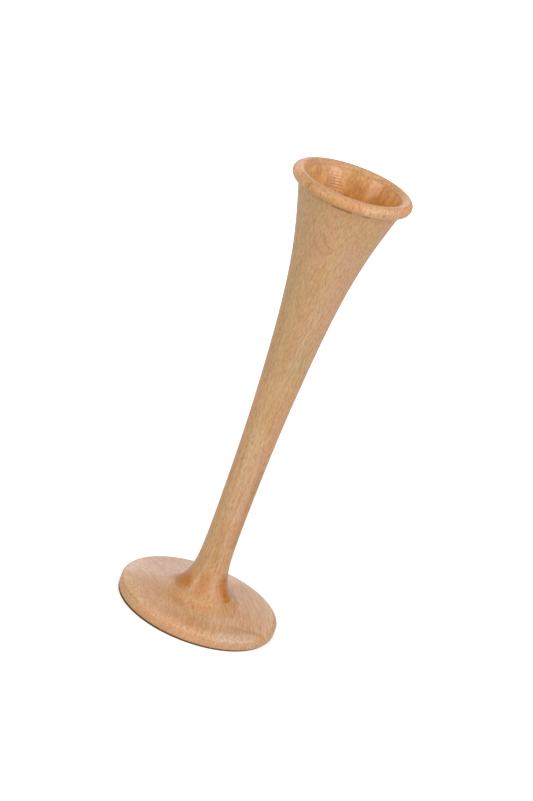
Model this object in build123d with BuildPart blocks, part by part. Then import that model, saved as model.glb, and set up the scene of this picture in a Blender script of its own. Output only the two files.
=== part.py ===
from build123d import *
from math import atan, cos, degrees, sin, sqrt
import os

os.makedirs("parts", exist_ok=True)

# Turned wooden listening horn for the midwife's ear, standing on its ear plate.
# Two pieces of beech: the horn, with its grain along the axis, and the ear plate,
# with its grain across. The horn's foot is let into the plate, its tenon goes
# right through, and the two are glued and then turned flush.
# All sizes in millimetres, +Z up the horn's axis, z = 0 at the ear face.

# Driving dimensions
overall_height = 173.5
plate_diameter = 60.0
plate_edge_height = 4.6
mouth_bead_diameter = 44.1
sound_bore_diameter = 6.0

# Ear plate
plate_radius = plate_diameter / 2
plate_top_round = 1.4
plate_bottom_round = 0.9
dome_edge_slope = 0.14
dome_crown = (19.0, 5.55)
dome_crown_slope = 0.07
plate_cove_points = [(15.0, 6.02), (13.0, 6.64)]

# Joint between horn and plate
foot_radius = 11.0
foot_seam_z = 8.05
foot_seam_slope = 1.0
foot_shoulder_z = 5.0
tenon_radius = 5.0

# Horn, outside: waist of the stem, the cove above the plate and the flare
waist_radius = 5.68
waist_z = 34.0
cove_points = [(9.5, 10.0), (8.1, 12.5), (6.84, 16.2), (6.15, 20.0), (5.8, 25.5)]
flare_points = [
    (5.9, 55.5),
    (6.47, 76.3),
    (7.56, 97.1),
    (9.14, 118.0),
    (11.2, 135.4),
    (13.81, 149.3),
    (16.47, 159.7),
]
neck_radius = 19.2

# Rolled bead round the mouth
bead_radius = 2.28
bead_centre_r = mouth_bead_diameter / 2 - bead_radius
bead_centre_z = overall_height - bead_radius
neck_inset = bead_centre_r - neck_radius
neck_z = bead_centre_z - sqrt(bead_radius**2 - neck_inset**2)

# Horn, inside: straight sound bore, then the bell opening to the mouth
bore_radius = sound_bore_diameter / 2
bore_mouth_round = 0.8
bore_top_z = 70.0
bell_points = [
    (3.35, 88.0),
    (4.3, 104.0),
    (6.0, 120.0),
    (8.3, 135.0),
    (11.15, 149.0),
    (13.97, 160.0),
]
lip_angle = atan(0.33)
lip_point = (
    bead_centre_r - bead_radius * cos(lip_angle),
    bead_centre_z + bead_radius * sin(lip_angle),
)

foot_seam = (foot_radius, foot_seam_z)

# The horn: tenon, shoulder, cove, stem, flared bell and rolled rim in one piece.
with BuildPart() as horn:
    with BuildSketch(Plane.XZ):
        with BuildLine():
            # Ear end: rounded mouth of the sound bore, end of the tenon
            RadiusArc(
                (bore_radius, bore_mouth_round),
                (bore_radius + bore_mouth_round, 0),
                bore_mouth_round,
            )
            Polyline(
                (bore_radius + bore_mouth_round, 0),
                (tenon_radius, 0),
                (tenon_radius, foot_shoulder_z),
                (foot_radius, foot_shoulder_z),
                foot_seam,
            )
            # Cove from the seam up to the waist of the stem
            Spline(
                foot_seam,
                *cove_points,
                (waist_radius, waist_z),
                tangents=[(-1, foot_seam_slope), (0, 1)],
            )
            # Stem and flare up to the crease under the bead
            Spline(
                (waist_radius, waist_z),
                *flare_points,
                (neck_radius, neck_z),
                tangents=[(0, 1), (0.31, 1)],
            )
            # Bead, from the crease round the outside to the lip
            bead_start = -90 - degrees(atan(neck_inset / (bead_centre_z - neck_z)))
            bead_end = 180 - degrees(lip_angle)
            CenterArc(
                (bead_centre_r, bead_centre_z),
                bead_radius,
                bead_start,
                bead_end - bead_start,
            )
            # Inside of the bell, from the lip down to the straight bore
            Spline(
                lip_point,
                *reversed(bell_points),
                (bore_radius, bore_top_z),
                tangents=[(-sin(lip_angle), -cos(lip_angle)), (0, -1)],
            )
            Line((bore_radius, bore_top_z), (bore_radius, bore_mouth_round))
        make_face()
    revolve(axis=Axis.Z)
horn.part.label = "horn"
export_step(horn.part, "parts/horn.step")

# The ear plate: a thick disc with a rounded edge and a gently domed top that
# sweeps up to the foot of the horn, bored through for the tenon.
top_round_start = (plate_radius, plate_edge_height - plate_top_round)
dome_edge = (
    plate_radius - plate_top_round + plate_top_round * sin(atan(dome_edge_slope)),
    plate_edge_height - plate_top_round + plate_top_round * cos(atan(dome_edge_slope)),
)
with BuildPart() as ear_plate:
    with BuildSketch(Plane.XZ):
        with BuildLine():
            Polyline(
                foot_seam,
                (foot_radius, foot_shoulder_z),
                (tenon_radius, foot_shoulder_z),
                (tenon_radius, 0),
                (plate_radius - plate_bottom_round, 0),
            )
            CenterArc(
                (plate_radius - plate_bottom_round, plate_bottom_round),
                plate_bottom_round,
                -90,
                90,
            )
            Line((plate_radius, plate_bottom_round), top_round_start)
            CenterArc(
                (plate_radius - plate_top_round, top_round_start[1]),
                plate_top_round,
                0,
                90 - degrees(atan(dome_edge_slope)),
            )
            # Gently crowned top, then the cove up to the horn's foot
            Spline(
                dome_edge,
                dome_crown,
                tangents=[(-1, dome_edge_slope), (-1, dome_crown_slope)],
            )
            Spline(
                dome_crown,
                *plate_cove_points,
                foot_seam,
                tangents=[(-1, dome_crown_slope), (-1, foot_seam_slope)],
            )
        make_face()
    revolve(axis=Axis.Z)
ear_plate.part.label = "ear_plate"
export_step(ear_plate.part, "parts/ear_plate.step")
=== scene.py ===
import math

import bpy
import numpy as np
from mathutils import Matrix, Vector


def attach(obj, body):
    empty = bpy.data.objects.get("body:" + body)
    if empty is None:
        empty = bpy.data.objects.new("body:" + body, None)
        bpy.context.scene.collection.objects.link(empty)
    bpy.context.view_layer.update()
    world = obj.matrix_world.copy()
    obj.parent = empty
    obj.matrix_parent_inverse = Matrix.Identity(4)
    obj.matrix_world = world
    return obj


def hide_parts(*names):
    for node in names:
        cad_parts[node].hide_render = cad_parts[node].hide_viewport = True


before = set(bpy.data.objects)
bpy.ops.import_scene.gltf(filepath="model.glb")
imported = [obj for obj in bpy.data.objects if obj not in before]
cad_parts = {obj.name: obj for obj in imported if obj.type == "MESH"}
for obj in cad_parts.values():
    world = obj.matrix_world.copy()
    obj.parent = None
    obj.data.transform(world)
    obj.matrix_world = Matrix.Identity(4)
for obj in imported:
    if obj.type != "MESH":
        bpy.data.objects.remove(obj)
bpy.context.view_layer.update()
restBody = "root"
mm = 0.001
print("frame loaded:", ", ".join(sorted(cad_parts)))


# Turned shapes. An outline is a closed loop of (radius, height) in mm, made of runs that
# meet at true corners. Every run is thinned to rings that crowd round marks and tight bends.
ringRule = {
    "turnPerRing": 0.16,          # radians
    "leastBend": 0.01,            # radians per mm, anything below counts as this
    "ringsPerMark": 3,            # in one width of a mark
    "markReach": 2.5,             # widths of a mark that keep its rings close
    "widening": 0.35,             # growth of the gaps beyond that, mm per mm
    "sharpDegrees": 38,           # edges that turn more stay sharp
    "spanFade": 0.7,              # how a mark on one side runs out at its ends
}


def curveThrough(points, startSlope, endSlope, step=0.05):
    knots = np.array(points, float)        # one smooth spline, its ends in given directions
    gaps = np.linalg.norm(np.diff(knots, axis=0), axis=1)
    lean = np.diff(knots, axis=0) / gaps[:, None]
    count = len(knots)
    grid = np.zeros((count, count))
    wanted = np.zeros((count, 2))
    grid[0, 0] = grid[-1, -1] = 1
    wanted[0] = np.array(startSlope) / np.linalg.norm(startSlope)
    wanted[-1] = np.array(endSlope) / np.linalg.norm(endSlope)
    for i in range(1, count - 1):
        before, after = gaps[i - 1], gaps[i]
        grid[i, i - 1:i + 2] = after, 2 * (before + after), before
        wanted[i] = 3 * (after * lean[i - 1] + before * lean[i])
    slopes = np.linalg.solve(grid, wanted)
    found = [knots[:1]]
    for i, gap in enumerate(gaps):
        t = np.linspace(0, 1, max(2, int(gap / step) + 1))[1:, None]
        found.append(
            (2 * t**3 - 3 * t**2 + 1) * knots[i]
            + (t**3 - 2 * t**2 + t) * gap * slopes[i]
            + (3 * t**2 - 2 * t**3) * knots[i + 1]
            + (t**3 - t**2) * gap * slopes[i + 1]
        )
    return np.vstack(found)


def arcRound(centre, radius, startDeg, endDeg, step=0.03):
    count = max(4, int(abs(math.radians(endDeg - startDeg)) * radius / step))
    turn = np.radians(np.linspace(startDeg, endDeg, count + 1))
    return np.array(centre) + radius * np.stack([np.cos(turn), np.sin(turn)], 1)


def straight(start, end, step=0.05):
    start, end = np.array(start, float), np.array(end, float)
    count = max(1, int(np.linalg.norm(end - start) / step))
    return start + (end - start) * np.linspace(0, 1, count + 1)[:, None]


def spaced(run, widest, marks):
    steps = np.diff(run, axis=0)
    length = np.r_[0, np.cumsum(np.linalg.norm(steps, axis=1))]
    room = np.full(len(run), widest)
    if len(run) > 2:                       # closer rings on a tight bend
        heading = np.unwrap(np.arctan2(steps[:, 1], steps[:, 0]))
        bend = np.abs(np.diff(heading)) * 2 / (length[2:] - length[:-2])
        bend = np.r_[bend[:1], bend, bend[-1:]]
        room = np.minimum(room, ringRule["turnPerRing"] / np.maximum(bend, ringRule["leastBend"]))
    for mark in marks:
        away = np.linalg.norm(run - np.array(mark["at"]), axis=1)
        beyond = np.maximum(away - ringRule["markReach"] * mark["width"], 0)
        close = mark["width"] / ringRule["ringsPerMark"]
        room = np.minimum(room, close + beyond * ringRule["widening"])
    rings = np.r_[0, np.cumsum(np.diff(length) / ((room[1:] + room[:-1]) / 2))]
    count = max(1, int(round(rings[-1])))
    at = np.interp(np.linspace(0, rings[-1], count + 1), rings, length)
    return np.stack([np.interp(at, length, run[:, k]) for k in (0, 1)], 1)


def turned(name, runs, spec, marks, tones):
    sides = spec["sides"]
    parts = [spaced(run, spec["ringGap"], marks)[:-1] for run in runs]
    loop = np.vstack(parts)
    firstInside = len(runs) - spec["insideRuns"]
    inside = np.hstack([np.full(len(part), i >= firstInside) for i, part in enumerate(parts)])
    ahead = np.roll(loop, -1, 0) - np.roll(loop, 1, 0)
    outward = np.stack([ahead[:, 1], -ahead[:, 0]], 1)
    outward /= np.linalg.norm(outward, axis=1)[:, None]
    turn = np.arange(sides) * 2 * math.pi / sides
    depth = np.zeros((len(loop), sides))
    for mark in marks:
        away = np.linalg.norm(loop - np.array(mark["at"]), axis=1) / mark["width"]
        share = np.ones(sides)
        if "azimuth" in mark:
            off = (turn - math.radians(mark["azimuth"]) + math.pi) % (2 * math.pi) - math.pi
            reach = math.radians(mark["span"] / 2)
            share = np.clip(1 - (off / reach) ** 2, 0, 1) ** ringRule["spanFade"]
        depth += mark["depth"] * np.exp(-away**2)[:, None] * share
    rings = loop[:, None, :] - outward[:, None, :] * depth[:, :, None]
    points = np.stack(
        [rings[..., 0] * np.cos(turn), rings[..., 0] * np.sin(turn), rings[..., 1]], 2
    ).reshape(-1, 3) * mm
    ring, side = np.meshgrid(np.arange(len(loop)), np.arange(sides), indexing="ij")
    nextRing, nextSide = (ring + 1) % len(loop), (side + 1) % sides
    faces = np.stack(
        [ring * sides + side, ring * sides + nextSide,
         nextRing * sides + nextSide, nextRing * sides + side], 2
    ).reshape(-1, 4)
    mesh = bpy.data.meshes.new(name)
    mesh.from_pydata(points.tolist(), [], faces.tolist())
    mesh.shade_smooth()
    mesh.set_sharp_from_angle(angle=math.radians(ringRule["sharpDegrees"]))
    for tone, level in tones.items():
        values = np.array([level(r, z, within) for (r, z), within in zip(loop, inside)])
        mesh.attributes.new(tone, "FLOAT", "POINT").data.foreach_set(
            "value", np.repeat(values, sides).astype(np.float32))
    mesh.update()
    piece = bpy.data.objects.new(name, mesh)
    bpy.context.scene.collection.objects.link(piece)
    print("turned", name, "with", len(points), "points")
    return piece


# The horn: tenon, foot, cove, stem, flared bell with its bead, and the bore.
hornSpec = {
    "height": 173.5,
    "beadDiameter": 44.1,
    "beadRadius": 2.28,
    "neckRadius": 19.2,
    "neckLean": (0.31, 1),
    "waist": (5.68, 34.0),
    "footSeam": (11.0, 8.05),
    "footSlope": (-1, 1),
    "shoulder": 5.0,
    "tenonRadius": 5.0,
    "boreRadius": 3.0,
    "boreRound": 0.8,
    "boreTop": 70.0,
    "lipLean": math.atan(0.33),
    "cove": [(9.5, 10.0), (8.1, 12.5), (6.84, 16.2), (6.15, 20.0), (5.8, 25.5)],
    "flare": [(5.9, 55.5), (6.47, 76.3), (7.56, 97.1), (9.14, 118.0),
              (11.2, 135.4), (13.81, 149.3), (16.47, 159.7)],
    "bell": [(13.97, 160.0), (11.15, 149.0), (8.3, 135.0), (6.0, 120.0),
             (4.3, 104.0), (3.35, 88.0)],
    "sides": 192,
    "ringGap": 1.2,
    "insideRuns": 2,              # the bell and the bore, last in the outline
    "gouge": {"ridges": 6, "top": (16.85, 169.8), "step": (-0.32, -1.0), "width": 0.24,
              "depth": 0.05, "deeper": 0.012, "azimuth": 116.0, "swing": -1.6, "span": 24.0},
}


def hornOutline(spec):
    beadR, seam = spec["beadRadius"], spec["footSeam"]
    centre = (spec["beadDiameter"] / 2 - beadR, spec["height"] - beadR)
    inset = centre[0] - spec["neckRadius"]
    drop = math.sqrt(beadR**2 - inset**2)
    neck = (spec["neckRadius"], centre[1] - drop)
    lean = spec["lipLean"]
    lip = (centre[0] - beadR * math.cos(lean), centre[1] + beadR * math.sin(lean))
    bore, rounding = spec["boreRadius"], spec["boreRound"]
    tenon, shoulder = spec["tenonRadius"], spec["shoulder"]
    beadStart = -90 - math.degrees(math.atan(inset / drop))
    beadEnd = 180 - math.degrees(lean)
    runs = [                               # ear end, joint, outside, bead, bell and bore
        arcRound((bore + rounding, rounding), rounding, 180, 270),
        straight((bore + rounding, 0), (tenon, 0)),
        straight((tenon, 0), (tenon, shoulder)),
        straight((tenon, shoulder), (seam[0], shoulder)),
        straight((seam[0], shoulder), seam),
        curveThrough([seam, *spec["cove"], spec["waist"]], spec["footSlope"], (0, 1)),
        curveThrough([spec["waist"], *spec["flare"], neck], (0, 1), spec["neckLean"]),
        arcRound(centre, beadR, beadStart, beadEnd),
        curveThrough([lip, *spec["bell"], (bore, spec["boreTop"])],
                     (-math.sin(lean), -math.cos(lean)), (0, -1)),
        straight((bore, spec["boreTop"]), (bore, rounding)),
    ]
    return runs, neck, lip


def gougeRidges(gouge):                # chatter of the gouge, high inside the bell
    marks = []
    for i in range(gouge["ridges"]):
        place = tuple(top + step * i for top, step in zip(gouge["top"], gouge["step"]))
        marks.append({
            "at": place, "width": gouge["width"], "depth": gouge["depth"] + gouge["deeper"] * i,
            "azimuth": gouge["azimuth"] + gouge["swing"] * i, "span": gouge["span"],
        })
    return marks


def graded(at, stops):                 # straight lines between (place, level) stops
    places, levels = zip(*stops)
    return float(np.interp(at, places, levels))


# fine grooves in mm: the glued joint on top and below, the crease, the lip and the ridges
seamMark = {"at": hornSpec["footSeam"], "width": 0.09, "depth": 0.012}
tenonMark = {"at": (hornSpec["tenonRadius"], 0.0), "width": 0.1, "depth": 0.06}
hornRuns, neckPoint, lipPoint = hornOutline(hornSpec)
hornMarks = [
    {"at": neckPoint, "width": 0.2, "depth": 0.05},
    {"at": lipPoint, "width": 0.25, "depth": 0.05},
    seamMark,
    tenonMark,
    *gougeRidges(hornSpec["gouge"]),
]


def hornCoveShade(r, z, within):           # painted shade: the cove darker and deeper amber
    stops = [(8.0, 0.1), (8.8, 0.3), (11.5, 0.6), (14.0, 0.5), (19.5, 0.0)]
    return 0.0 if within else graded(z, stops)


def hornInsideShade(r, z, within):           # painted shade: deeper amber down the inside of the bell
    return graded(z, [(70.0, 1.0), (164.0, 1.0), (172.3, 0.3), (173.3, 0.0)]) if within else 0.0


def hornLipLight(r, z, within):             # painted light: paler band under the rim's inner edge, where more light reaches the inside
    return graded(z, [(150.0, 0.6), (168.0, 1.0), (171.3, 1.0), (172.1, 0.0)]) if within else 0.0


def hornBead(r, z, within):            # brighter bead
    if within:
        return graded(z, [(171.6, 0.0), (172.6, 0.8)])
    return graded(z, [(168.9, 0.0), (169.3, 0.8), (172.6, 1.0), (173.3, 0.8)])


hornTones = {"amber": hornCoveShade, "inner": hornInsideShade, "lip": hornLipLight, "bead": hornBead}
horn = turned("horn_turned", hornRuns, hornSpec, hornMarks, hornTones)
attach(horn, restBody)
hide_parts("horn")


# The ear plate: domed disc with a rounded edge, rising to the horn's foot.
plateSpec = {
    "radius": 30.0,
    "domeEdge": 4.78,
    "topRound": (3.0, 1.55),      # across, down
    "topRoundPoints": 90,
    "bottomRound": 0.9,
    "edgeSlope": 0.14,
    "crown": (19.0, 5.55),
    "crownSlope": 0.07,
    "cove": [(15.0, 6.02), (13.0, 6.64)],
    "footSeam": hornSpec["footSeam"],
    "footSlope": hornSpec["footSlope"],
    "shoulder": hornSpec["shoulder"],
    "tenonRadius": hornSpec["tenonRadius"],
    "sides": 360,
    "ringGap": 0.7,
    "insideRuns": 0,
    "coveShadeAbove": 5.2,            # painted cove shade only on the rise to the foot
    "rimAbove": 2.0,              # painted edge highlight not on the ear face
}


def plateOutline(spec):
    radius, bottom = spec["radius"], spec["bottomRound"]
    across, down = spec["topRound"]
    start = math.atan(spec["edgeSlope"] * across / down)
    centre = (radius - across, spec["domeEdge"] - down * math.cos(start))
    turn = np.linspace(math.pi / 2, start, spec["topRoundPoints"])[:, None]
    rounding = np.hstack([centre[0] + across * np.sin(turn), centre[1] + down * np.cos(turn)])
    domeEdge = tuple(rounding[-1])
    hole, seat = spec["tenonRadius"], (spec["footSeam"][0], spec["shoulder"])
    return [
        straight(spec["footSeam"], seat),
        straight(seat, (hole, spec["shoulder"])),
        straight((hole, spec["shoulder"]), (hole, 0)),
        straight((hole, 0), (radius - bottom, 0)),
        arcRound((radius - bottom, bottom), bottom, -90, 0),
        straight((radius, bottom), (radius, centre[1])),
        rounding,
        curveThrough([domeEdge, spec["crown"]],
                     (-1, spec["edgeSlope"]), (-1, spec["crownSlope"])),
        curveThrough([spec["crown"], *spec["cove"], spec["footSeam"]],
                     (-1, spec["crownSlope"]), spec["footSlope"]),
    ]


# painted shade: the cove's deeper amber runs out onto the plate round the foot
def plateCoveShade(r, z, within):
    return graded(r, [(11.0, 0.3), (12.5, 0.25), (16.0, 0.0)]) if z > plateSpec["coveShadeAbove"] else 0.0


def plateRim(r, z, within):            # painted highlight: paler and bluer towards the rounded edge
    stops = [(25.0, 0.0), (28.2, 1.0), (29.4, 0.7), (29.9, 0.15)]
    return graded(r, stops) if z > plateSpec["rimAbove"] else 0.0


plateTones = {"amber": plateCoveShade, "rim": plateRim}
earPlate = turned("ear_plate_turned", plateOutline(plateSpec), plateSpec,
                  [seamMark, tenonMark], plateTones)
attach(earPlate, restBody)
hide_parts("ear_plate")


# Shader sockets that take Python arithmetic.
class Wire:
    def __init__(self, tree, socket=None):
        self.tree = tree
        self.socket = socket

    def node(self, kind, settings=None, inputs=None, out=0):
        made = self.tree.nodes.new(kind)
        for key, value in (settings or {}).items():
            if key == "stops":
                fillRamp(made.color_ramp, value)
            else:
                setattr(made, key, value)
        for key, value in (inputs or {}).items():
            if isinstance(value, Wire):
                self.tree.links.new(value.socket, made.inputs[key])
            else:
                made.inputs[key].default_value = value
        if isinstance(out, tuple):
            return tuple(Wire(self.tree, made.outputs[name]) for name in out)
        return Wire(self.tree, made.outputs[out]) if made.outputs else None

    def math(self, operation, *values):
        return self.node("ShaderNodeMath", {"operation": operation}, dict(enumerate(values)))

    def __add__(self, other):
        return self.math("ADD", self, other)

    def __sub__(self, other):
        return self.math("SUBTRACT", self, other)

    def __mul__(self, other):
        return self.math("MULTIPLY", self, other)

    def __radd__(self, other):
        return self.math("ADD", other, self)

    def __rsub__(self, other):
        return self.math("SUBTRACT", other, self)

    def __rmul__(self, other):
        return self.math("MULTIPLY", other, self)

    def root(self):
        return self.math("SQRT", self)

    def between(self, low, high):          # 0 below low, 1 above high, smooth between
        return self.node("ShaderNodeMapRange", {"interpolation_type": "SMOOTHSTEP"},
                         {"Value": self, "From Min": low, "From Max": high})

    def times(self, factors):              # vector by vector
        return self.node("ShaderNodeVectorMath", {"operation": "MULTIPLY"}, {0: self, 1: factors})

    def plus(self, other):
        return self.node("ShaderNodeVectorMath", {"operation": "ADD"}, {0: self, 1: other})

    def parts(self):
        return self.node("ShaderNodeSeparateXYZ", None, {0: self}, ("X", "Y", "Z"))

    def joined(self, x, y, z):
        return self.node("ShaderNodeCombineXYZ", None, {0: x, 1: y, 2: z})

    def noise(self, scale, detail=2.0, rough=0.5, out=0):
        return self.node("ShaderNodeTexNoise", None,
                         {"Vector": self, "Scale": scale, "Detail": detail, "Roughness": rough}, out)

    def cells(self):
        return self.node("ShaderNodeTexVoronoi", None, {"Vector": self, "Scale": 1.0},
                         ("Distance", "Color"))

    def blended(self, factor, first, second, blend="MIX"):      # numbered, as its sockets share names
        return self.node("ShaderNodeMix", {"data_type": "RGBA", "blend_type": blend},
                         {0: factor, 6: first, 7: second}, 2)

    def mixed(self, other, factor, blend="MIX"):
        return self.blended(factor, self, other, blend)


def fillRamp(ramp, stops):
    while len(ramp.elements) < len(stops):
        ramp.elements.new(0.5)
    for element, (where, shade) in zip(ramp.elements, stops):
        element.position = where
        element.color = (shade, shade, shade, 1)


def rgb(red, green, blue):
    return (red, green, blue, 1.0)


def lengthOf(*legs):                   # length of the line that has these legs
    squares = legs[0] * legs[0]
    for leg in legs[1:]:
        squares = squares + leg * leg
    return squares.root()


# Beech. Every pattern lives in the log's own frame: distance from the pith, way round
# it and way along the fibres, all in mm, so that it runs through the solid wood.
hornGrain = {
    "upright": True,              # fibres along the horn's axis
    "pith": (-4.2, -39.8),
    "ringGap": 1.35,
    "ringShift": 0.35,
    "ringDepth": 0.10,
    "drift": 1.6,
    "driftStretch": (1, 1, 0.16),
    "pale": (0.534, 0.325, 0.161),
    "rosy": (0.550, 0.304, 0.162),
    "honey": (0.500, 0.290, 0.115),
    # tones by mesh attribute: painted shade in the cove and down the inside of the bell, painted light
    # under the lip, and a brighter bead
    "tones": {"amber": (0.94, 0.70, 0.36), "inner": (0.98, 0.86, 0.56),
              "lip": (1.47, 1.48, 1.58), "bead": (1.12, 1.03, 0.95)},
    "deep": (0.90, 0.66, 0.24),   # shaded side of the bell's inside
    "deepSpan": (-11.0, 8.0),
    "beadRipple": 0.9,            # stronger figure on the bead
    "ripple": 0.46,
    "fine": 0.26,
    "fineStretch": 0.25,
    "honeyShare": 0.6,
    "fleck": (0.330, 0.150, 0.055),
    "fleckShare": 0.6,
    "fleckDepth": 0.58,
    "fleckFade": (85.0, 150.0),   # flecks show less up the flare
    "ringFade": (-60.0, -50.0),
    "roughness": 0.45,
    "coat": (0.34, {"amber": 0.75, "lip": 0.62, "bead": 0.14}),    # and more by tone
}
plateGrain = {
    "upright": False,             # flat-sawn board: fibres bend round a far centre
    "bend": (-58.0, -22.0),
    "bendRadius": 38.0,
    "fibreReach": 40.0,           # mm along the fibres for one radian
    "pithBelow": 26.0,
    "ringGap": 1.05,
    "ringShift": 0.1,
    "ringDepth": 0.12,
    "drift": 0.7,
    "driftStretch": (1, 1, 1),
    "pale": (0.578, 0.326, 0.159),
    "rosy": (0.578, 0.302, 0.150),
    "honey": (0.540, 0.285, 0.115),
    # painted shade round the foot and a painted highlight towards the edge
    "tones": {"amber": (0.95, 0.80, 0.55), "rim": (1.12, 1.21, 1.35)},
    "ripple": 0.50,
    "fine": 0.40,
    "fineStretch": 0.8,
    "honeyShare": 0.35,
    "fleck": (0.360, 0.180, 0.075),
    "fleckShare": 0.4,
    "fleckDepth": 0.45,
    "ringFade": (-18.0, 16.0),    # rings are cut flat on the left, stand up on the right
    "roughness": 0.45,
    "coat": (0.58, {}),
}


# Noise patterns: stretch across, round and along the fibres, a shift that keeps patterns
# apart, detail and roughness, the span that counts and how deep it shades.
weave = {
    "streak": {"stretch": (1.1, 1.3, 0.05), "noise": (4, 0.65), "span": (0.38, 0.68), "depth": 0.1},
    "mottle": {"stretch": (0.9, 1.4, 0.45), "shift": (5, 50, 9), "noise": (3, 0.65),
               "span": (0.35, 0.7), "depth": 0.06},
    "broad": {"stretch": (0.5, 0.5, 0.02), "shift": (9, 4, 2), "noise": (2, 0.55),
              "span": (0.42, 0.62), "depth": 0.16},
    "zone": {"stretch": (0.17, 0.17, 0.014), "noise": (2, 0.5), "span": (0.38, 0.62)},
    "warmth": {"stretch": (0.3, 0.3, 0.03), "shift": (31, 7, 3), "noise": (2, 0.5), "span": (0.45, 0.75)},
    "ripple": {"stretch": (2.1, 2.1, 0.5), "shift": (3, 8, 1), "noise": (2, 0.6)},
}
beechSpec = {
    "driftNoise": (0.045, 2, 0.45),
    "ringStops": [(0.0, 0.25), (0.12, 0.0), (0.55, 0.12), (0.84, 0.8), (0.93, 1.0), (1.0, 0.25)],
    "ringLeast": 0.35,            # tone of the faintest ring beside the strongest
    "ringKept": 0.2,              # share of the rings left where ringFade takes them out
    "fineStreak": (4.0, 4.0),     # stretch across and round, along it differs by piece
    "fineNoise": (3, 0.6),
    "fleck": {"stretch": (0.3, 1.5, 0.36), "edge": (0.16, 0.32), "soft": 0.06, "faded": 0.5},
    "pore": {"stretch": (1.4, 4.2, 0.75), "edge": (0.14, 0.36), "share": (0.45, 0.75), "depth": 0.08},
    "lightest": 1.06,
    "darkening": (1.45, 2.1),     # green and blue fall faster than red as wood darkens
    "relief": {"gouge": 0.5, "fine": 0.25, "ripple": 0.5, "pore": 0.3, "fleck": 0.25, "ring": 0.2},
    "gougeStretch": (3.1, 2.2, 0.6),   # up the axis, outward, round
    "bump": {"Strength": 0.35, "Distance": 0.00004},
    "rougher": {"fine": 0.12, "fleck": 0.08, "ring": 0.05},
    "finish": {"Coat Roughness": 0.27, "Coat IOR": 1.5, "IOR": 1.45, "Specular IOR Level": 0.1},
}
markAndPaintRule = {
    "ringCore": 0.3,              # share of a stain's size that it covers fully
    "markCore": 0.25,
    "patchNoise": (3, 0.6),
    "aboveFade": 1.5,             # mm
}


def woven(log, name):
    pattern = weave[name]
    place = log.times(pattern["stretch"])
    if "shift" in pattern:
        place = place.plus(pattern["shift"])
    found = place.noise(1.0, *pattern["noise"])
    return found.between(*pattern["span"]) if "span" in pattern else found


def logFrame(place, grain):            # with a slow drift so that no ring is a true circle
    x, y, z = place.parts()
    drift = place.times(grain["driftStretch"]).noise(*beechSpec["driftNoise"], "Color").parts()
    driftX, driftY = [(part - 0.5) * (2 * grain["drift"]) for part in drift[:2]]
    if grain["upright"]:
        aside = x - grain["pith"][0] + driftX
        ahead = y - grain["pith"][1] + driftY
        fibre, reach = z, math.hypot(*grain["pith"])
    else:
        bendX, bendY = x - grain["bend"][0], y - grain["bend"][1]
        aside = lengthOf(bendX, bendY) - grain["bendRadius"] + driftX
        ahead = z + grain["pithBelow"] + driftY
        fibre, reach = place.math("ARCTAN2", bendY, bendX) * grain["fibreReach"], grain["pithBelow"]
    outFromPith = lengthOf(aside, ahead)
    across = place.math("ARCTAN2", aside, ahead) * reach
    return place.joined(outFromPith, across, fibre), outFromPith


def growthRings(outFromPith, grain):   # slow darkening to the late wood, then a sharp pale start
    count = outFromPith * (1 / grain["ringGap"]) + grain["ringShift"]
    part = count.math("FRACT", count)
    ring = part.node("ShaderNodeValToRGB", {"stops": beechSpec["ringStops"]}, {0: part})
    number = count.math("FLOOR", count)
    power = number.node("ShaderNodeTexWhiteNoise", {"noise_dimensions": "1D"}, {"W": number})
    least = beechSpec["ringLeast"]
    return ring * (least + (1 - least) * power)


def rayFlecks(log, grain):             # spindles along the rings, broad flakes across them
    spec, share = beechSpec["fleck"], grain["fleckShare"]
    away, lot = log.times(spec["stretch"]).cells()
    pick = lot.parts()[0]
    return (1 - away.between(*spec["edge"])) * (1 - pick.between(share - spec["soft"], share))


def finePores(log):
    spec = beechSpec["pore"]
    away, lot = log.times(spec["stretch"]).cells()
    return (1 - away.between(*spec["edge"])) * lot.parts()[1].between(*spec["share"])


def ringHold(markOrPaintedLight, x, y, z):          # how far a patchy ring round the axis covers
    radius, height = markOrPaintedLight["at"][0], markOrPaintedLight["at"][2]
    gap = lengthOf(lengthOf(x, y) - radius, z - height)
    turnAt = x.math("ARCTAN2", y, x)
    patch = x.joined(turnAt * markOrPaintedLight["patches"], 0.0, 0.0).noise(1.0, *markAndPaintRule["patchNoise"])
    cover = 1 - gap.between(markOrPaintedLight["size"] * markAndPaintRule["ringCore"], markOrPaintedLight["size"])
    return cover * patch.between(*markOrPaintedLight["where"])


def markHold(markOrPaintedLight, x, y, z, fineStreak):      # how far a mark round a line or a point covers
    start, legs = markOrPaintedLight["at"], [b - a for a, b in zip(markOrPaintedLight["at"], markOrPaintedLight["end"])]
    lengthSquared = sum(leg**2 for leg in legs)
    off = [axis - begin for axis, begin in zip((x, y, z), start)]
    if lengthSquared:
        along = (off[0] * legs[0] + off[1] * legs[1] + off[2] * legs[2]) * (1 / lengthSquared)
        along = along.math("MAXIMUM", along, 0.0)
        along = along.math("MINIMUM", along, 1.0)
        off = [gone - along * leg for gone, leg in zip(off, legs)]
    gap = lengthOf(*off) + (fineStreak - 0.5) * markOrPaintedLight["size"]
    return 1 - gap.between(markOrPaintedLight["size"] * markAndPaintRule["markCore"], markOrPaintedLight["size"])


def markedOrPainted(colour, markOrPaintedLight, x, y, z, fineStreak):
    if markOrPaintedLight.get("ring"):
        hold = ringHold(markOrPaintedLight, x, y, z)
    else:
        hold = markHold(markOrPaintedLight, x, y, z, fineStreak)
    if markOrPaintedLight.get("above"):             # on the top face alone
        hold = hold * z.between(markOrPaintedLight["above"], markOrPaintedLight["above"] + markAndPaintRule["aboveFade"])
    return colour.mixed(rgb(*markOrPaintedLight["colour"]), hold * markOrPaintedLight["strength"], markOrPaintedLight.get("blend", "MIX"))


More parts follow.
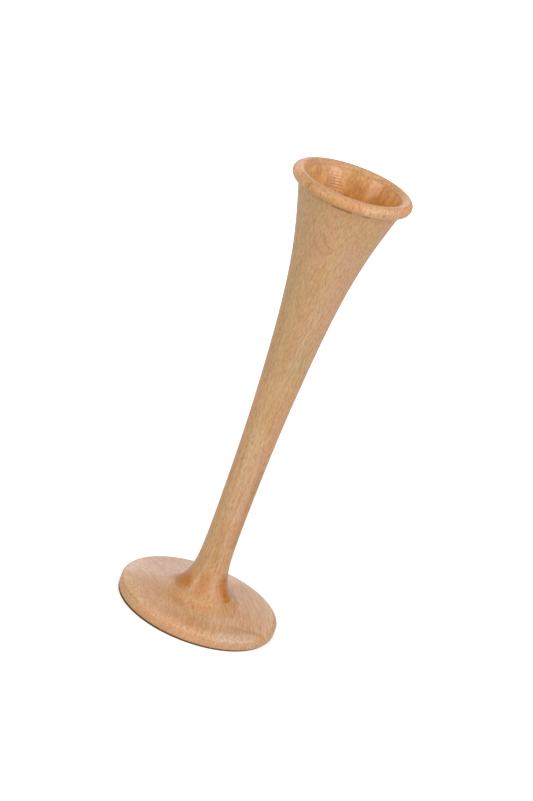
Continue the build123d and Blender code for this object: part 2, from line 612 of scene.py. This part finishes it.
def beech(name, grain, marksAndPaintedLight):
    material = bpy.data.materials.new(name)
    material.use_nodes = True
    material.node_tree.nodes.clear()
    wood = Wire(material.node_tree)
    place = wood.node("ShaderNodeTexCoord", out="Object").times((1 / mm, 1 / mm, 1 / mm))
    x, y, z = place.parts()
    log, outFromPith = logFrame(place, grain)
    ringTone = growthRings(outFromPith, grain)
    fineStretch = (*beechSpec["fineStreak"], grain["fineStretch"])
    fineStreak = log.times(fineStretch).noise(1.0, *beechSpec["fineNoise"])
    ripple = woven(log, "ripple") - 0.5
    fleck = rayFlecks(log, grain)
    pore = finePores(log)
    shares = {tone: wood.node("ShaderNodeAttribute", {"attribute_name": tone}, out="Fac")
              for tone in grain["tones"]}

    # base colour of the wood, then light and dark in it
    colour = wood.blended(woven(log, "zone"), rgb(*grain["pale"]), rgb(*grain["rosy"]))
    colour = colour.mixed(rgb(*grain["honey"]), woven(log, "warmth") * grain["honeyShare"])
    kept = beechSpec["ringKept"]
    ringShare = x.between(*grain["ringFade"]) * (1 - kept) + kept
    shade = beechSpec["lightest"] - ringTone * ringShare * grain["ringDepth"]
    shade = shade - woven(log, "streak") * weave["streak"]["depth"]
    shade = shade - woven(log, "mottle") * weave["mottle"]["depth"]
    shade = shade + (fineStreak - 0.5) * grain["fine"] - pore * beechSpec["pore"]["depth"]
    if "bead" in shares:
        shade = shade + ripple * (shares["bead"] * grain["beadRipple"] + 1) * grain["ripple"]
        shade = shade - woven(log, "broad") * shares["lip"] * weave["broad"]["depth"]
    else:
        shade = shade + ripple * grain["ripple"]
    greenPower, bluePower = beechSpec["darkening"]
    darker = wood.joined(shade, shade.math("POWER", shade, greenPower),
                         shade.math("POWER", shade, bluePower))
    colour = colour.mixed(darker, 1.0, "MULTIPLY")
    if "fleckFade" in grain:
        fleck = fleck * (1 - z.between(*grain["fleckFade"]) * beechSpec["fleck"]["faded"])
    colour = colour.mixed(rgb(*grain["fleck"]), fleck * grain["fleckDepth"])

    # painted light and shade with the marks: tones painted on the mesh, a painted shadow in the crease,
    # single marks in the wood, and broad tints, most of them painted light and shade
    for tone, share in shares.items():
        colour = colour.mixed(rgb(*grain["tones"][tone]), share, "MULTIPLY")
    if "deep" in grain:
        deepShare = shares["inner"] * x.between(*grain["deepSpan"])
        colour = colour.mixed(rgb(*grain["deep"]), deepShare, "MULTIPLY")
    for markOrPaintedLight in marksAndPaintedLight:
        colour = markedOrPainted(colour, markOrPaintedLight, x, y, z, fineStreak)

    # turning rings left by the gouge, pores and rings in relief
    up, outward, turning = beechSpec["gougeStretch"]
    gougePlace = wood.joined(z * up + lengthOf(x, y) * outward,
                             wood.math("ARCTAN2", y, x) * turning, 0.0)
    gouge = gougePlace.noise(1.0)
    high, rough = beechSpec["relief"], beechSpec["rougher"]
    relief = gouge * high["gouge"] + fineStreak * high["fine"] + ripple * high["ripple"]
    relief = relief - pore * high["pore"] - fleck * high["fleck"] - ringTone * high["ring"]
    bump = wood.node("ShaderNodeBump", None, {**beechSpec["bump"], "Height": relief})
    roughness = grain["roughness"] + fineStreak * rough["fine"] + fleck * rough["fleck"]
    roughness = roughness - ringTone * rough["ring"]
    coat, thicker = grain["coat"]          # lacquer lies thicker where it ran together
    for tone, more in thicker.items():
        coat = coat + shares[tone] * more
    finish = wood.node("ShaderNodeBsdfPrincipled", None, {
        "Base Color": colour, "Roughness": roughness, "Normal": bump, "Coat Weight": coat,
        **beechSpec["finish"]}, "BSDF")
    wood.node("ShaderNodeOutputMaterial", None, {"Surface": finish})
    print("beech mixed:", name)
    return material


def tint(at, end, size, colour, above=None):       # broad soft change of tone, here mostly painted light and shade
    return {"at": at, "end": end, "size": size, "strength": 1.0, "colour": colour,
            "blend": "MULTIPLY", "above": above}


def lineStains(points, look):          # one thin mark through several points
    return [{"at": start, "end": end, **look} for start, end in zip(points, points[1:])]


growthTip = [(-3.6, -15.4, 157.3), (-2.8, -14.9, 154.8), (-1.5, -14.65, 153.0), (0.4, -14.5, 152.2)]
hornMarksAndPaintedLight = [
    # painted shadow in the crease under the bead, with two darker stretches
    {"at": (neckPoint[0], 0, neckPoint[1]), "ring": True, "size": 0.7, "patches": 5.0,
     "where": (0.48, 0.6), "strength": 0.3, "colour": (0.20, 0.085, 0.03)},
    {"at": (-4.3, -18.6, 168.5), "end": (2.3, -18.9, 168.5), "size": 0.6, "strength": 0.8,
     "colour": (0.22, 0.09, 0.03)},
    {"at": (6.5, -17.9, 168.4), "end": (9.2, -16.7, 168.3), "size": 0.5, "strength": 0.55,
     "colour": (0.24, 0.11, 0.04)},
    # tip of a growth line on the flare, then the glued seam
    *lineStains(growthTip, {"size": 0.3, "strength": 0.5, "colour": (0.32, 0.16, 0.07)}),
    {"at": (hornSpec["footSeam"][0], 0, hornSpec["footSeam"][1]), "ring": True, "size": 0.12,
     "patches": 4.0, "where": (0.35, 0.7), "strength": 0.18, "colour": (0.30, 0.14, 0.06)},
    # painted shade in the cove: on its left and right flanks and deeper amber at its front
    tint((-10.5, 1.0, 8.6), (-6.9, -5.0, 11.0), 4.6, (0.88, 0.70, 0.35)),
    tint((9.6, -3.4, 9.0), (6.4, -3.0, 14.6), 4.4, (0.84, 0.62, 0.24)),
    tint((-1.5, -9.3, 9.6), (-0.8, -6.6, 15.5), 3.2, (0.92, 0.86, 0.76)),
    # painted shadow of the bead down the left of the flare, a painted highlight band down its right,
    # paler and bluer down the front of the stem, and painted shade on the right of the lower stem
    tint((-12.0, -14.0, 166.0), (-3.0, -8.0, 105.0), 13.0, (0.925, 0.97, 0.97)),
    tint((8.0, -12.0, 154.0), (5.0, -8.0, 104.0), 7.0, (0.99, 1.04, 1.15)),
    tint((0.0, -6.6, 74.0), (0.3, -6.2, 42.0), 5.0, (1.03, 1.10, 1.24)),
    tint((5.2, -3.0, 30.0), (5.4, -3.0, 60.0), 2.8, (0.87, 0.84, 0.78)),
    # painted light and shade round the bead: shade on its lower front left, light on its right and along
    # its top
    tint((-14.0, -17.0, 171.0), (1.0, -22.0, 170.4), 3.6, (0.94, 0.90, 0.76)),
    tint((8.0, -20.8, 171.0), (17.0, -13.0, 172.0), 3.4, (1.03, 1.12, 1.24)),
    tint((18.6, -9.5, 173.0), (21.0, 2.0, 173.0), 3.0, (1.15, 1.09, 1.14)),
    tint((-19.3, -8.0, 172.5), (-19.3, 6.0, 173.0), 3.4, (1.20, 1.08, 1.08)),
    # streak across the bead and two down the inside
    {"at": (-14.9, -17.1, 170.6), "end": (-14.0, -16.4, 172.6), "size": 0.7, "strength": 0.65,
     "colour": (0.30, 0.13, 0.05)},
    {"at": (-9.6, 13.4, 168.6), "end": (-8.6, 11.6, 161.0), "size": 0.9, "strength": 0.5,
     "colour": (0.50, 0.21, 0.05)},
    {"at": (10.3, 13.9, 171.0), "end": (9.2, 12.2, 164.0), "size": 0.8, "strength": 0.5,
     "colour": (0.42, 0.17, 0.035)},
]
# thin dark line along the rounding of the plate's left edge, turns in radians
edgeLine = {"radius": 29.66, "height": 4.0, "turns": (3.35, 3.55, 3.75, 3.95)}
edgePoints = [(edgeLine["radius"] * math.cos(turn), edgeLine["radius"] * math.sin(turn),
               edgeLine["height"]) for turn in edgeLine["turns"]]
plateMarksAndPaintedLight = [
    *lineStains(edgePoints, {"size": 0.4, "strength": 0.4, "colour": (0.36, 0.17, 0.065)}),
    # painted reflection of the bright room on the far left of the top, slightly paler and bluer at the
    # back right, a painted highlight at the front right by the foot, painted shade at the front left,
    # painted light in front of the foot, then a painted highlight on the front edge
    tint((-24.0, 6.0, 5.0), (4.0, 25.0, 5.0), 11.0, (1.19, 1.36, 1.96), 2.0),
    tint((20.0, 12.0, 5.0), (13.0, 19.0, 5.0), 8.0, (1.05, 1.07, 1.12), 2.0),
    tint((8.0, -15.0, 5.5), (14.0, -13.0, 5.5), 5.0, (1.08, 1.11, 1.18), 2.0),
    tint((-15.0, -10.0, 5.7), (-8.0, -12.5, 6.0), 5.5, (0.94, 0.91, 0.82), 2.0),
    tint((-4.0, -18.0, 5.6), (6.0, -18.0, 5.6), 4.5, (1.03, 1.13, 1.2), 2.0),
    tint((13.0, -25.5, 3.5), (22.0, -19.5, 3.5), 5.0, (1.0, 1.13, 1.4), 0.8),
    # brown mark and dot at the right front
    {"at": (14.6, -17.0, 5.3), "end": (26.4, -13.0, 4.6), "size": 1.7, "strength": 0.5,
     "colour": (0.42, 0.20, 0.075)},
    {"at": (6.6, -29.4, 2.8), "end": (6.6, -29.4, 2.8), "size": 0.42, "strength": 0.75,
     "colour": (0.25, 0.11, 0.05)},
    # faint streaks in front of the foot
    {"at": (-3.3, -13.3, 6.4), "end": (-1.5, -22.1, 5.3), "size": 0.4, "strength": 0.2,
     "colour": (0.40, 0.20, 0.08)},
    {"at": (-1.0, -12.8, 6.7), "end": (1.2, -20.6, 5.4), "size": 0.32, "strength": 0.16,
     "colour": (0.42, 0.21, 0.09)},
    {"at": (2.2, -12.0, 7.1), "end": (3.9, -17.4, 5.7), "size": 0.32, "strength": 0.2,
     "colour": (0.40, 0.20, 0.08)},
]
horn.data.materials.append(beech("hornBeech", hornGrain, hornMarksAndPaintedLight))
earPlate.data.materials.append(beech("plateBeech", plateGrain, plateMarksAndPaintedLight))


# Floor and backdrop light. The camera sees plain white, everything else a lit pale room.
floorSpec = {
    "half": 4.0,
    "drop": 0.0001,
    "colour": (0.74, 0.74, 0.74),
    "lift": (0.34, 1.0),          # glow near the plate and far away
    "liftSpan": (0.09, 0.6),
    "closeLift": 0.1,             # painted light: more glow just round the plate, which pales the plate's soft shadow there
    "closeSpan": (0.033, 0.05),
    # painted contact shadow under the plate's edge
    "contact": {"shift": (0.36, 0.71), "radius": (0.02935, 0.0297), "colour": (0.22, 0.15, 0.10)},
}


def paleFloor(spec):
    mesh = bpy.data.meshes.new("floor")
    half, low = spec["half"], -spec["drop"]
    mesh.from_pydata([(-half, -half, low), (half, -half, low), (half, half, low), (-half, half, low)],
                     [], [(0, 1, 2, 3)])
    floor = bpy.data.objects.new("floor", mesh)
    bpy.context.scene.collection.objects.link(floor)
    material = bpy.data.materials.new("paleFloor")
    material.use_nodes = True
    material.node_tree.nodes.clear()
    base = Wire(material.node_tree)
    seen = base.node("ShaderNodeLightPath", out="Is Camera Ray")
    x, y, z = base.node("ShaderNodeTexCoord", out="Object").parts()
    out = lengthOf(x, y)
    contact = spec["contact"]               # painted contact shadow: dark line where the plate meets the floor
    shiftX, shiftY = contact["shift"]
    clear = lengthOf(x + shiftX * mm, y + shiftY * mm).between(*contact["radius"])
    near, beyond = spec["lift"]
    close = spec["closeLift"] * (1 - out.between(*spec["closeSpan"]))
    glow = seen * (clear * (close + near) + out.between(*spec["liftSpan"]) * (beyond - near))
    ground = base.blended(clear, rgb(*contact["colour"]), rgb(*spec["colour"]))
    finish = base.node("ShaderNodeBsdfPrincipled", None, {
        "Base Color": ground, "Roughness": 0.9,
        "Emission Color": base.joined(glow, glow, glow),
        "Emission Strength": 1.0, "Specular IOR Level": 0.0}, "BSDF")
    base.node("ShaderNodeOutputMaterial", None, {"Surface": finish})
    mesh.materials.append(material)
    print("floor laid")


paleFloor(floorSpec)

lightSpec = {
    "ambient": 0.3,
    "aim": (0, 0, 0.09),
    "boxes": {  # azimuth from the camera's side, elevation, distance, width, height, watts
        "leftStrip": (-50, 18, 2.2, 0.9, 1.4, 16.0),
        "rightStrip": (50, 17, 2.2, 0.9, 1.4, 16.5),
        "leftBox": (-90, 25, 2.2, 1.4, 1.6, 2.0),
        "rightBox": (82, 34, 2.2, 1.4, 1.6, 8.0),
        "lowBox": (0, 10, 2.2, 1.8, 0.9, 3.5),
        "frontBox": (0, 50, 2.2, 2.4, 1.6, 14.5),
        "topBox": (0, 88, 2.2, 1.8, 1.8, 9.0),
        "backBox": (-163, 17, 2.2, 2.4, 0.9, 9.5),
    },
}


def studioLight(spec):
    world = bpy.data.worlds.new("studio")
    bpy.context.scene.world = world
    world.use_nodes = True
    world.node_tree.nodes.clear()
    base = Wire(world.node_tree)
    seen = base.node("ShaderNodeLightPath", out="Is Camera Ray")
    level = spec["ambient"] + seen * (1 - spec["ambient"])
    sky = base.node("ShaderNodeBackground", None, {"Color": rgb(1, 1, 1), "Strength": level})
    base.node("ShaderNodeOutputWorld", None, {"Surface": sky})
    aim = Vector(spec["aim"])
    for name, (azimuth, elevation, distance, width, height, watts) in spec["boxes"].items():
        a, e = math.radians(azimuth), math.radians(elevation)
        way = Vector((math.sin(a) * math.cos(e), -math.cos(a) * math.cos(e), math.sin(e)))
        lamp = bpy.data.lights.new(name, "AREA")
        lamp.shape = "RECTANGLE"
        lamp.size = width
        lamp.size_y = height
        lamp.energy = watts
        holder = bpy.data.objects.new(name, lamp)
        holder.location = aim + way * distance
        holder.rotation_mode = "QUATERNION"
        holder.rotation_quaternion = (-way).to_track_quat("-Z", "Y")
        bpy.context.scene.collection.objects.link(holder)
    print("lights hung:", len(spec["boxes"]))


studioLight(lightSpec)

# Camera at the photograph's angle, held rolled so that the horn leans right.
cameraSpec = {
    "place": (0.0, -1.02471, 0.48143),
    "down": 0.3683,               # radians, as the next two
    "aside": 0.0023,
    "roll": 0.3563,
    "lens": 138.23,
    "clip": (0.05, 30),
}


def photoCamera(spec):
    down, aside, roll = spec["down"], spec["aside"], spec["roll"]
    turn = Matrix((
        (math.cos(aside), math.sin(aside), 0),
        (-math.sin(aside), math.cos(aside), 0),
        (0, 0, 1)))
    level = Vector((1, 0, 0))
    upward = Vector((0, math.sin(down), math.cos(down)))
    forward = Vector((0, math.cos(down), -math.sin(down))) @ turn
    right = (math.cos(roll) * level + math.sin(roll) * upward) @ turn
    top = (math.cos(roll) * upward - math.sin(roll) * level) @ turn
    data = bpy.data.cameras.new("photoCamera")
    data.lens = spec["lens"]
    data.clip_start, data.clip_end = spec["clip"]
    camera = bpy.data.objects.new("photoCamera", data)
    camera.matrix_world = Matrix((
        (right.x, top.x, -forward.x, spec["place"][0]),
        (right.y, top.y, -forward.y, spec["place"][1]),
        (right.z, top.z, -forward.z, spec["place"][2]),
        (0, 0, 0, 1)))
    bpy.context.scene.collection.objects.link(camera)
    bpy.context.scene.camera = camera
    print("camera set")


photoCamera(cameraSpec)
bpy.context.scene.view_settings.view_transform = "Standard"
